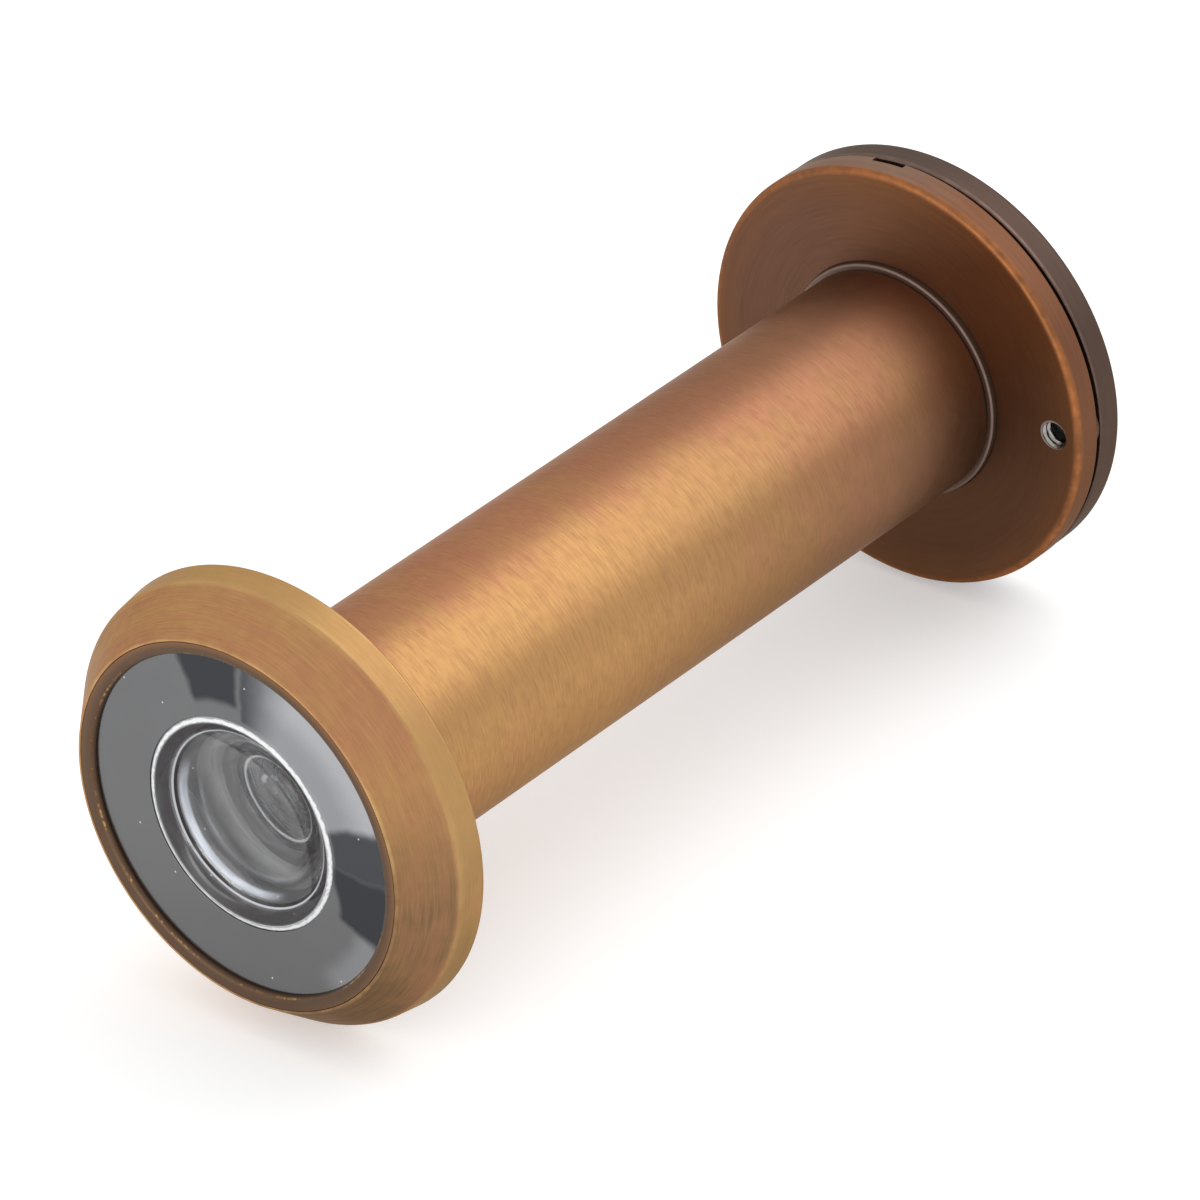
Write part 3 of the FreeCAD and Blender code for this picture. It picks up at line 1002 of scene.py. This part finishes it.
@dataclass
class Dresser:
    made: dict[str, bpy.types.Material] = field(default_factory=dict)

    def material(self, finish: Finish) -> bpy.types.Material:
        """Make a finish's material, once.

        Args:
            finish: the finish.

        Returns:
            The material.
        """
        if finish.name not in self.made:
            self.made[finish.name] = finish.build()
        return self.made[finish.name]

    def dress(self, piece: bpy.types.Object, body: Body, node: str, *finishes: Finish) -> None:
        """Give a piece its finishes, its body and the node that it stands for.

        Args:
            piece: the finished object.
            body: the body that it rides on.
            node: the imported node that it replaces.
            finishes: its surfaces, by material number.
        """
        for finish in finishes:
            piece.data.materials.append(self.material(finish))
        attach(piece, body.value)
        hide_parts(node)
        LOG.info("%s rides on %s", piece.name, body.value)

    def paint(self, finish: Finish, *nodes: str) -> None:
        """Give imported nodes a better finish.

        Args:
            finish: the finish.
            nodes: the nodes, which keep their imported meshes.
        """
        for node in nodes:
            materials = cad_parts[node].data.materials
            materials.clear()
            materials.append(self.material(finish))
            LOG.info("%s keeps its packed mesh", node)


@dataclass
class FrontBarrel:
    """Bezel and tube."""

    tube_radius: float = 7.0
    bore_radius: float = 6.0
    tube_length: float = 53.2
    rim_radius: float = 13.55
    ridge_radius: float = 13.3
    rim_band: float = 1.75
    front_radius: float = 11.17
    recess_radius: float = 11.05
    depth: float = 4.55
    floor: float = 0.95
    shoulder_radius: float = 5.6
    shoulder: float = 0.25
    finish: Finish = BrushedBrass("brushed_brass", Slot.BRASS)

    def build(self, dresser: Dresser) -> None:
        """Turn the barrel from its profile and brush it.

        Args:
            dresser: puts the finish on.
        """
        corners = [
            (self.recess_radius, -self.depth, 0.02),
            (self.front_radius, -self.depth, 0.04),
            (self.ridge_radius, -self.rim_band, 0.28),
            (self.rim_radius, 0.0, 0.22),
            (self.tube_radius, 0.0, 0.1),
            (self.tube_radius, self.tube_length, 0.15),
            (self.bore_radius, self.tube_length, 0.1),
            (self.bore_radius, -self.shoulder, 0.0),
            (self.shoulder_radius, -self.shoulder, 0.0),
            (self.shoulder_radius, -self.floor, 0.0),
            (self.recess_radius, -self.floor, 0.0),
        ]
        piece = turned_piece("front_barrel_turned", corners, FINE_STEPS)
        dresser.dress(piece, Body.FRONT, "front_barrel", self.finish)


@dataclass
class Lens:
    """One lens: flat on one side, hollow on the other, with ground bevels; some parts are left out at 0."""

    node: str
    radius: float
    curved_station: float
    flat_station: float
    curve_radius: float
    rise: float
    bevel: float = 0.12
    bevel_reach: float = 0.12
    edge: float = 0.12
    flat_line: float = 0.0
    flat_width: float = 0.17
    inner_radius: float = 0.0
    inner_depth: float = 0.0
    line_width: float = 0.05
    lip_radius: float = 0.0
    lip_height: float = 0.0
    lip_share: float = 0.6
    glass: Finish = LensGlass("glass", Slot.GLASS)
    ground: Finish = GroundGlass("ground_glass", Slot.GLASS)
    faint: Finish = GroundGlass("ground_line", Slot.GLASS, tint=(0.52, 0.53, 0.56))

    def outline(self) -> tuple[np.ndarray, list[Surface]]:
        """The lens's profile, from the flat side's pole over the edge to the hollow's.

        With an inner radius, a cone leads from the bevel to the hollow, whose first step is a faint line.

        Returns:
            Rows of (radius, station), and the surface of the span after each row.
        """
        clear, ground = Surface.CLEAR, Surface.GROUND
        flat, curved, radius, rise = self.flat_station, self.curved_station, self.curve_radius, self.rise
        side = math.copysign(1.0, flat - curved)
        rim, inside, reach = curved + side * self.lip_height, self.radius - self.edge, self.bevel_reach
        rows = [(0.0, flat, clear)]
        if self.flat_line:
            rows += [(self.flat_line, flat, ground), (self.flat_line + self.flat_width, flat, clear)]
        rows += [(inside, flat, ground), (self.radius, flat - side * self.edge, ground)]
        rows += [(self.radius, rim + side * self.edge, ground), (inside, rim, clear)]
        if self.lip_height:
            foot = curved + side * self.lip_height * self.lip_share
            rows += [(self.lip_radius, rim, ground), (self.lip_radius, foot, ground)]
        rows.append((radius + self.bevel, curved, ground))
        if self.inner_radius:
            slope = self.inner_depth / (radius - self.inner_radius)
            rows.append((radius - reach, curved + side * slope * reach, clear))
            radius, curved, reach = self.inner_radius, curved + side * self.inner_depth, self.line_width / 2
            rise -= side * self.inner_depth
            rows.append((radius + reach, curved - side * slope * reach, clear))
        inner = radius - reach
        ball = (radius ** 2 + rise ** 2) / (2 * abs(rise))
        drop = math.copysign(abs(rise) - (ball - math.sqrt(ball ** 2 - inner ** 2)), rise)
        cap = cap_points(inner, curved + drop, rise - drop)
        kinds = [row[2] for row in rows] + [Surface.LINE if self.inner_radius else clear]
        return np.vstack([[row[:2] for row in rows], cap]), kinds + [clear] * (len(cap) - 1)

    def build(self, dresser: Dresser) -> None:
        """Turn the lens and grind its bevels.

        Args:
            dresser: puts the finishes on.
        """
        profile, kinds = self.outline()
        piece = Turning().plain(profile).piece(f"{self.node}_ground", np.array(kinds))
        dresser.dress(piece, Body.FRONT, self.node, self.glass, self.ground, self.faint)


@dataclass
class FrontOptics:
    """Front glass, its ring and plate, and the inner lenses."""

    ring_station: float = -4.55
    lip_station: float = -4.2
    plate_station: float = -4.15
    glass_station: float = -4.0
    floor_station: float = -0.95
    gap: float = 0.01
    outer: float = 11.02
    ring_width: float = 0.8
    objective_bowl: float = 6.1
    objective_depth: float = 2.4
    lip_width: float = 0.3
    plate_bore: float = 6.43
    inner_radius: float = 5.24
    second_station: float = 0.25
    second_curve: tuple[float, float] = (4.04, -1.7)
    spacer_station: float = 2.85
    third_station: float = 4.65
    third_curve: tuple[float, float] = (3.54, -1.2)
    lock_station: float = 7.05
    brown: Finish = TurnedMetal(
        "ring_brown", Slot.RING, colour=(0.135, 0.082, 0.052), roughness=0.42, mottle=0.5,
        rubbed=(0.45, 0.27, 0.10), rubbed_radius=10.34, rubbed_width=0.07,
        outer=(0.20, 0.108, 0.056), outer_reach=(10.55, 11.05),
    )
    plate: Finish = PolishedPlate("polished_plate", Slot.PLATE)
    bright: Finish = TurnedMetal("cell_metal", Slot.CELL, colour=(0.80, 0.80, 0.80), roughness=0.38)

    def build(self, dresser: Dresser) -> None:
        """Build every piece from the front backwards.

        Args:
            dresser: puts the finishes on.
        """
        inner, back = self.outer - self.ring_width, self.plate_station - self.gap
        corners = ring_corners(inner, self.outer, self.ring_station, back, (0.37, 0.02, 0.0, 0.0))
        piece = turned_piece("objective_ring_turned", corners, FINE_STEPS, support=0.01)
        dresser.dress(piece, Body.FRONT, "objective_ring", self.brown)
        back = self.glass_station - self.gap
        corners = ring_corners(self.plate_bore, self.outer, self.plate_station, back, (0.03, 0.0, 0.0, 0.0))
        piece = turned_piece("polished_plate_turned", corners, support=0.01)
        dresser.dress(piece, Body.FRONT, "polished_plate", self.plate)
        for lens in (self.objective(), self.second(), self.third()):
            lens.build(dresser)
        dresser.paint(self.bright, "lens_cell", "lens_spacer", "cell_ring")

    def objective(self) -> Lens:
        """The front glass, hollow towards the outside.

        Returns:
            The lens.
        """
        # Painted reflections: dark bands and, in pale, a crescent highlight.
        dark_reflection_rings = (
            Ring(5.47, 6.02, 0.04, 0.72),
            Ring(5.12, 5.35, 0.04, 1.1, -128.0, (-0.5, 0.5)),
            Ring(4.15, 4.45, 0.12, 0.34, -110.0, (-0.1, 0.7)),
            Ring(3.3, 5.1, 0.3, 0.62, 12.0, (0.2, 0.9)),
        )
        pale = (
            Ring(4.66, 5.02, 0.09, 1.0, -135.0, (0.25, 0.98)),
            Ring(3.9, 4.05, 0.08, 0.14, -110.0, (-0.1, 0.8)),
        )
        return Lens(
            "objective_lens", self.outer, self.lip_station, self.floor_station - self.gap,
            self.objective_bowl, self.objective_depth, bevel=0.06, bevel_reach=0.03,
            inner_radius=5.4, inner_depth=0.59,
            lip_radius=self.objective_bowl + self.lip_width, lip_height=0.2,
            glass=LensGlass(
                "front_glass", Slot.GLASS, haze=0.062, clean=0.85, ring_end=-1.4, dark_reflection_rings=dark_reflection_rings, pale=pale
            ),
            ground=GroundGlass("ground_lip", Slot.GLASS, ring=(6.16, 6.34), painted_glow=0.09, relief=0.0000015),
        )

    def second(self) -> Lens:
        """The lens at the front of the cell, with the ground line and the small painted highlights.

        Returns:
            The lens.
        """
        # Painted reflections: dark bands and, in pale, a bright ring and small highlight spots.
        dark_reflection_rings = Ring(3.36, 3.95, 0.05, 1.1), Ring(1.5, 3.1, 0.3, 0.55, -40.0, (0.2, 1.0))
        pale = (
            Ring(3.12, 3.36, 0.05, 1.2, -150.0, (-0.2, 0.7)),
            Ring(1.5, 1.85, 0.12, 0.8, 150.0, (0.94, 0.99)),
            Ring(1.2, 1.55, 0.1, 0.8, 108.0, (0.93, 0.99)),
            Ring(0.5, 0.9, 0.15, 0.4, 170.0, (0.8, 0.98)),
        )
        return Lens(
            "second_lens", self.inner_radius, self.spacer_station, self.second_station, *self.second_curve,
            bevel_reach=0.22, flat_line=3.15,
            glass=LensGlass("second_glass", Slot.GLASS, ring_end=0.6, dark_reflection_rings=dark_reflection_rings, pale=pale),
        )

    def third(self) -> Lens:
        """The lens at the back of the cell."""
        stations = self.lock_station, self.third_station
        return Lens("third_lens", self.inner_radius, *stations, *self.third_curve, bevel_reach=0.22)


@dataclass
class RearBarrel:
    """Collar, threaded barrel with its flange, and the eyepiece."""

    collar_radius: float = 7.33
    collar_start: float = 53.22
    collar_end: float = 54.02
    collar_bore: float = 5.98
    seat_radius: float = 7.34
    seat_floor: float = 54.04
    flange_radius: float = 13.18
    flange_start: float = 53.62
    flange_end: float = 55.37
    front_rounding: float = 0.45
    back_rounding: float = 0.12
    bore: float = 4.44
    thread_radius: float = 5.94
    thread_core: float = 5.45
    thread_start: float = 23.62
    pitch: float = 1.0
    eyepiece_bore: float = 4.94
    eyepiece_station: float = 51.17
    slot_width: float = 2.2
    slot_depth: float = 0.45
    slot_turn: float = 4.8
    pivot: float = 11.34
    hole_core: float = 0.92
    hole_crest: float = 0.76
    hole_pitch: float = 0.4
    bronze: Finish = DarkBronze("dark_bronze", Slot.BRONZE)
    collar_finish: Finish = DarkBronze(
        "collar_bronze", Slot.BRONZE, roughness=0.45,
        face=(0.15, 0.105, 0.085), pale=(0.19, 0.135, 0.11), warm=(0.17, 0.115, 0.09),
        rim=(0.17, 0.12, 0.095), rim_sheen=(0.19, 0.135, 0.11), worn=(0.22, 0.155, 0.125),
        edge_radius=7.3, edge_station=53.22, edge_rounding=0.15,
    )
    eyepiece_black: Finish = TurnedMetal(
        "eyepiece_black", Slot.CELL, colour=(0.055, 0.053, 0.050), roughness=0.42
    )

    def build(self, dresser: Dresser) -> None:
        """Build the collar, the rear barrel and the eyepiece.

        Args:
            dresser: puts the finishes on.
        """
        sizes = self.collar_bore, self.collar_radius, self.collar_start, self.collar_end
        piece = turned_piece("collar_ring_turned", ring_corners(*sizes, (0.05, 0.15, 0.0, 0.0)))
        dresser.dress(piece, Body.COLLAR, "collar_ring", self.collar_finish)
        dresser.dress(self.barrel(), Body.REAR, "rear_barrel", self.bronze)
        dresser.paint(self.eyepiece_black, "eyepiece_ring")
        dresser.paint(LensGlass("glass", Slot.GLASS), "eyepiece_lens")

    def barrel(self) -> bpy.types.Object:
        """Barrel with a cut thread, the flange with its coin slot, and the tapped hole.

        Returns:
            The piece.
        """
        start, end, beyond, short = self.flange_start, self.flange_end, 1.0, 0.9
        turning = Turning()
        turning.plain(np.array([(self.bore, self.thread_start), (self.thread_core, self.thread_start)]))
        first, last = self.thread_start + 0.05, self.seat_floor - short
        turning.thread(self.thread_core, self.thread_radius, first, last, self.pitch)
        flange = rounded_profile([
            (self.thread_core, self.seat_floor, 0.0),
            (self.seat_radius, self.seat_floor, 0.0),
            (self.seat_radius, start, 0.04),
            (self.flange_radius, start, self.front_rounding),
            (self.flange_radius, end, self.back_rounding),
            (self.eyepiece_bore, end, 0.08),
            (self.eyepiece_bore, self.eyepiece_station, 0.0),
            (self.bore, self.eyepiece_station, 0.0),
        ])
        piece = turning.plain(flange).piece("rear_barrel_threaded")
        length = 2 * (self.flange_radius + beyond)
        slot = bar(self.slot_width, length, end - self.slot_depth, end + beyond, self.slot_turn)
        tap = Turning(TAP_STEPS, self.pivot)
        tap.plain(np.array([(0.0, start - beyond), (self.hole_core, start - beyond)]))
        tap.thread(self.hole_core, self.hole_crest, start - short, end + short, self.hole_pitch)
        tap.plain(np.array([(self.hole_core, end + beyond), (0.0, end + beyond)]))
        carve(piece, [slot, tap.piece("tool")])
        return piece


@dataclass
class Cover:
    """Leaning cover with its screw and washers."""

    pivot: float = 11.34
    start: float = 55.73
    end: float = 57.63
    radius: float = 13.14
    hole: float = 0.96
    pocket: float = 1.4
    pocket_floor: float = 56.93
    lean_degrees: float = 0.8955
    lean_towards: float = -38.0
    washer_radius: float = 1.75
    washer_start: float = 55.37
    washer_end: float = 55.67
    grey_bronze: Finish = DarkBronze(
        "cover_bronze", Slot.COVER,
        face=(0.085, 0.054, 0.043), pale=(0.11, 0.072, 0.058), rim=(0.094, 0.062, 0.050),
        rim_sheen=(0.13, 0.10, 0.088), warm=(0.10, 0.066, 0.053), worn=(0.19, 0.13, 0.105),
        bare=(0.094, 0.062, 0.050), edge_radius=13.14, edge_station=55.73, edge_rounding=0.12,
    )
    washer_bronze: Finish = TurnedMetal(
        "washer_bronze", Slot.BRONZE, colour=(0.10, 0.05, 0.032), roughness=0.45, offset=11.34
    )
    steel: Finish = TurnedMetal("steel", Slot.STEEL, colour=(0.66, 0.66, 0.65), roughness=0.25, offset=11.34)
    screw_steel: Finish = TurnedMetal(
        "screw_steel", Slot.STEEL, colour=(0.66, 0.66, 0.65), roughness=0.25, offset=11.34, shaded_before=55.6
    )

    def lean(self, piece: bpy.types.Object) -> None:
        """Tip a piece's mesh about the pivot, as the cover sits.

        Args:
            piece: the piece.
        """
        angle = math.radians(self.lean_towards)
        about = Vector((-math.sin(angle), 0.0, math.cos(angle)))
        pivot = Matrix.Translation(Vector((self.pivot, self.start, 0.0)) * MM)
        lean = Matrix.Rotation(math.radians(self.lean_degrees), 4, about)
        piece.data.transform(pivot @ lean @ pivot.inverted())

    def build(self, dresser: Dresser) -> None:
        """Build the cover, its washer and its screw.

        Args:
            dresser: puts the finishes on.
        """
        start, end, beyond = self.start, self.end, 1.0
        corners = [(0.0, start, 0.0), (self.radius, start, 0.12), (self.radius, end, 0.4), (0.0, end, 0.0)]
        piece = turned_piece("cover_disc_turned", corners)
        hole = rod(self.hole, start - beyond, end + beyond, self.pivot)
        carve(piece, [hole, rod(self.pocket, self.pocket_floor, end + beyond, self.pivot)])
        self.lean(piece)
        dresser.dress(piece, Body.COVER, "cover_disc", self.grey_bronze)
        sizes = self.hole, self.washer_radius, self.washer_start, self.washer_end
        corners = ring_corners(*sizes, (0.03, 0.06, 0.06, 0.03))
        piece = turned_piece("pivot_washer_turned", corners, SMALL_STEPS, self.pivot)
        dresser.dress(piece, Body.REAR, "pivot_washer", self.washer_bronze)
        dresser.paint(self.screw_steel, "pivot_screw")
        dresser.paint(self.steel, "spring_washer")


@dataclass(frozen=True)
class Softbox:
    """A rectangular lamp: its place, the point it faces, its sides in millimetres and how bright it is."""

    name: str
    place: Triple
    aim: Triple
    width: float
    height: float
    radiance: float
    along: Triple = (1.0, 0.0, 0.0)


FRONT = (0.0, -4.0, 0.0)
STRIP_ALONG = (-0.906, 0.109, 0.41)


@dataclass
class Studio:
    """Camera, lamps, floor and surroundings."""

    eye: Triple = (291.709436, -318.129, 274.149732)
    right: Triple = (0.778931, 0.625696, -0.042082)
    up: Triple = (-0.298461, 0.428899, 0.852623)
    focal_pixels: float = 9500.0
    frame_pixels: float = 1200.0
    sensor: float = 36.0
    floor_size: float = 6000.0
    floor_height: float = -13.55
    floor_colour: Triple = (0.74, 0.74, 0.74)
    floor_glow: float = 0.34
    white: Triple = (1.0, 1.0, 1.0)
    lamps: tuple[Softbox, ...] = (
        Softbox("key", (45.6, 126.3, 118.6), (3.0, 22.0, 5.0), 165.0, 165.0, 1.15),
        Softbox("strip", (0.0, -372.0, 120.0), FRONT, 330.0, 28.0, 4.2, STRIP_ALONG),
        Softbox("long_strip", (8.0, -374.0, 118.0), FRONT, 500.0, 38.0, 2.8, STRIP_ALONG),
        Softbox("halo", (0.0, -380.0, 98.0), FRONT, 560.0, 78.0, 1.8, STRIP_ALONG),
    )

    def camera(self) -> None:
        """Place the camera at the photograph's viewing angle."""
        data = bpy.data.cameras.new("camera")
        data.sensor_width = self.sensor
        data.lens = self.focal_pixels / self.frame_pixels * self.sensor
        data.clip_start = 0.01
        data.clip_end = 50.0
        right, up = Vector(self.right), Vector(self.up)
        turn = Matrix((right, up, right.cross(up))).transposed()
        eye = placed("camera", data)
        eye.matrix_world = Matrix.LocRotScale(Vector(self.eye) * MM, turn, None)
        bpy.context.scene.camera = eye

    def softbox(self, lamp_box: Softbox) -> None:
        """Hang a lamp that faces the object; its power is radiance times pi times area.

        Args:
            lamp_box: the lamp's place and sizes.
        """
        width, height = lamp_box.width * MM, lamp_box.height * MM
        data = bpy.data.lights.new(lamp_box.name, "AREA")
        data.shape = "RECTANGLE"
        data.size = width
        data.size_y = height
        data.energy = lamp_box.radiance * math.pi * width * height
        place = Vector(lamp_box.place)
        away = (place - Vector(lamp_box.aim)).normalized()
        along = Vector(lamp_box.along)
        along = (along - away * along.dot(away)).normalized()
        turn = Matrix((along, away.cross(along), away)).transposed()
        lamp = placed(lamp_box.name, data)
        lamp.matrix_world = Matrix.LocRotScale(place * MM, turn, None)
        lamp.visible_camera = False

    @staticmethod
    def seen_directly(board: Board) -> Signal:
        """1 for rays from the camera, a mirror or a window, and 0 for rays that only light things.

        Args:
            board: takes the nodes.

        Returns:
            1 or 0.
        """
        path = board.node("ShaderNodeLightPath", {}, {})
        kinds = "Is Camera Ray", "Is Glossy Ray", "Is Transmission Ray"
        seen = [Signal(board, path.outputs[kind]) for kind in kinds]
        return (seen[0] + seen[1] + seen[2]).clamped()

    def surroundings(self) -> None:
        """White where it is seen and where it lights the object."""
        world = bpy.data.worlds.new("surroundings")
        world.use_nodes = True
        bpy.context.scene.world = world
        board = Board(world.node_tree)
        background = board.node("ShaderNodeBackground", {}, {"Color": (*self.white, 1.0), "Strength": 1.0})
        board.node("ShaderNodeOutputWorld", {}, {"Surface": background.outputs[0]})

    def floor(self) -> None:
        """Lay a plain pale floor under the object, which glows where it is seen."""
        half, low = self.floor_size / 2, self.floor_height
        corners = np.array([[-half, -half, low], [half, -half, low], [half, half, low], [-half, half, low]])
        mesh = bpy.data.meshes.new("floor")
        mesh.from_pydata((corners * MM).tolist(), [], [(0, 1, 2, 3)])
        material, board = blank_material("pale_floor")
        matt = board.matt(self.floor_colour)
        light = {"Color": (*self.white, 1.0), "Strength": self.floor_glow}
        glow = board.node("ShaderNodeEmission", {}, light)
        both = board.node("ShaderNodeAddShader", {}, {0: matt.outputs[0], 1: glow.outputs[0]})
        shader = board.mixed(self.seen_directly(board), matt, both)
        board.node("ShaderNodeOutputMaterial", {}, {"Surface": shader.outputs[0]})
        mesh.materials.append(material)
        placed("floor", mesh)

    def build(self) -> None:
        """Set up everything round the object."""
        bpy.context.scene.view_settings.view_transform = "Standard"
        self.camera()
        self.surroundings()
        self.floor()
        for lamp_box in self.lamps:
            self.softbox(lamp_box)


def main() -> None:
    """Build every piece in order, then the studio."""
    logging.basicConfig(level=logging.INFO, format="%(message)s")
    dresser = Dresser()
    FrontBarrel().build(dresser)
    FrontOptics().build(dresser)
    RearBarrel().build(dresser)
    Cover().build(dresser)
    Studio().build()


if __name__ == "__main__":
    main()
